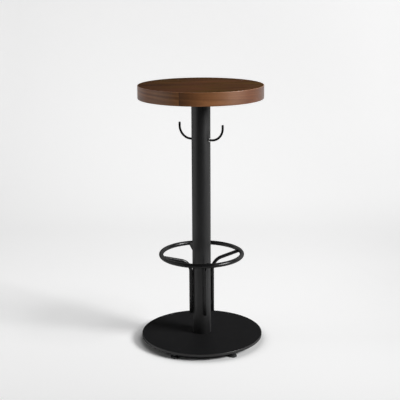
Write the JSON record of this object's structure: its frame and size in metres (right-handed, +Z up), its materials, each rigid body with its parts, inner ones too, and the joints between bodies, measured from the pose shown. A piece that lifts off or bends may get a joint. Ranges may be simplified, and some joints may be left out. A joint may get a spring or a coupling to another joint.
{
  "type": "round bar table",
  "caption": "Round bar table: thick wooden top on a black steel column, with a foot ring on bent rods, coat hooks and a round base plate on levelling feet.",
  "frame": {"origin": "on the floor, under the middle of the column", "axes": "+Z up; +X along one rod of the foot ring, +Y along the next"},
  "size_m": [0.5, 0.5, 1.065],
  "materials": {
    "top_wood": "satin walnut veneer",
    "edge_wood": "satin walnut edge band with grain along the edge",
    "underside_wood": "matt walnut veneer",
    "fibreboard": "raw fibreboard",
    "black_steel": "satin black powder coat",
    "zinc_steel": "bright zinc plate",
    "black_zinc": "black zinc plate",
    "black_plastic": "moulded black plastic"
  },
  "bodies": {
    "table": {"top_face_veneer": "top_wood", "top_board_upper": "fibreboard", "top_board_lower": "fibreboard", "underside_veneer": "underside_wood", "top_edge_band": "edge_wood", "top_inserts": "zinc_steel", "top_screws": "zinc_steel", "top_screw_washers": "zinc_steel", "mounting_plate": "black_steel", "column_tube": "black_steel", "column_plug": "black_steel", "base_plate": "black_steel", "base_screws": "zinc_steel", "base_screw_washers": "zinc_steel", "foot_ring": "black_steel", "foot_ring_rod_1": "black_steel", "foot_ring_rod_2": "black_steel", "foot_ring_rod_3": "black_steel", "foot_ring_rod_4": "black_steel", "foot_ring_standoffs": "black_steel", "hook_left": "black_steel", "hook_right": "black_steel", "hook_rivet_nuts": "zinc_steel", "foot_bushes": "black_steel"},
    "pad_1": {"foot_pad_1": "black_plastic"},
    "stud_1": {"foot_stud_1": "black_zinc"},
    "pad_2": {"foot_pad_2": "black_plastic"},
    "stud_2": {"foot_stud_2": "black_zinc"},
    "pad_3": {"foot_pad_3": "black_plastic"},
    "stud_3": {"foot_stud_3": "black_zinc"},
    "pad_4": {"foot_pad_4": "black_plastic"},
    "stud_4": {"foot_stud_4": "black_zinc"},
    "pad_5": {"foot_pad_5": "black_plastic"},
    "stud_5": {"foot_stud_5": "black_zinc"},
    "pad_6": {"foot_pad_6": "black_plastic"},
    "stud_6": {"foot_stud_6": "black_zinc"}
  },
  "joints": [
    {"name": "foot_1_height", "type": "slide", "parent": "table", "child": "pad_1", "axis": [0, 0, -1], "range_m": [0, 0.006]},
    {"name": "foot_1_stud_turn", "type": "hinge", "parent": "pad_1", "child": "stud_1", "pos_m": [0.16546, 0.16546, 0.02], "axis": [0, 0, -1], "range_deg": [0, 1728]},
    {"name": "foot_2_height", "type": "slide", "parent": "table", "child": "pad_2", "axis": [0, 0, -1], "range_m": [0, 0.006]},
    {"name": "foot_2_stud_turn", "type": "hinge", "parent": "pad_2", "child": "stud_2", "pos_m": [-0.06056, 0.22603, 0.02], "axis": [0, 0, -1], "range_deg": [0, 1728]},
    {"name": "foot_3_height", "type": "slide", "parent": "table", "child": "pad_3", "axis": [0, 0, -1], "range_m": [0, 0.006]},
    {"name": "foot_3_stud_turn", "type": "hinge", "parent": "pad_3", "child": "stud_3", "pos_m": [-0.22603, 0.06056, 0.02], "axis": [0, 0, -1], "range_deg": [0, 1728]},
    {"name": "foot_4_height", "type": "slide", "parent": "table", "child": "pad_4", "axis": [0, 0, -1], "range_m": [0, 0.006]},
    {"name": "foot_4_stud_turn", "type": "hinge", "parent": "pad_4", "child": "stud_4", "pos_m": [-0.16546, -0.16546, 0.02], "axis": [0, 0, -1], "range_deg": [0, 1728]},
    {"name": "foot_5_height", "type": "slide", "parent": "table", "child": "pad_5", "axis": [0, 0, -1], "range_m": [0, 0.006]},
    {"name": "foot_5_stud_turn", "type": "hinge", "parent": "pad_5", "child": "stud_5", "pos_m": [0.06056, -0.22603, 0.02], "axis": [0, 0, -1], "range_deg": [0, 1728]},
    {"name": "foot_6_height", "type": "slide", "parent": "table", "child": "pad_6", "axis": [0, 0, -1], "range_m": [0, 0.006]},
    {"name": "foot_6_stud_turn", "type": "hinge", "parent": "pad_6", "child": "stud_6", "pos_m": [0.22603, -0.06056, 0.02], "axis": [0, 0, -1], "range_deg": [0, 1728]}
  ],
  "couplings": [
    {"joint": "foot_1_stud_turn", "follows": "foot_1_height", "rad_per_m": 5026.5},
    {"joint": "foot_2_stud_turn", "follows": "foot_2_height", "rad_per_m": 5026.5},
    {"joint": "foot_3_stud_turn", "follows": "foot_3_height", "rad_per_m": 5026.5},
    {"joint": "foot_4_stud_turn", "follows": "foot_4_height", "rad_per_m": 5026.5},
    {"joint": "foot_5_stud_turn", "follows": "foot_5_height", "rad_per_m": 5026.5},
    {"joint": "foot_6_stud_turn", "follows": "foot_6_height", "rad_per_m": 5026.5}
  ]
}
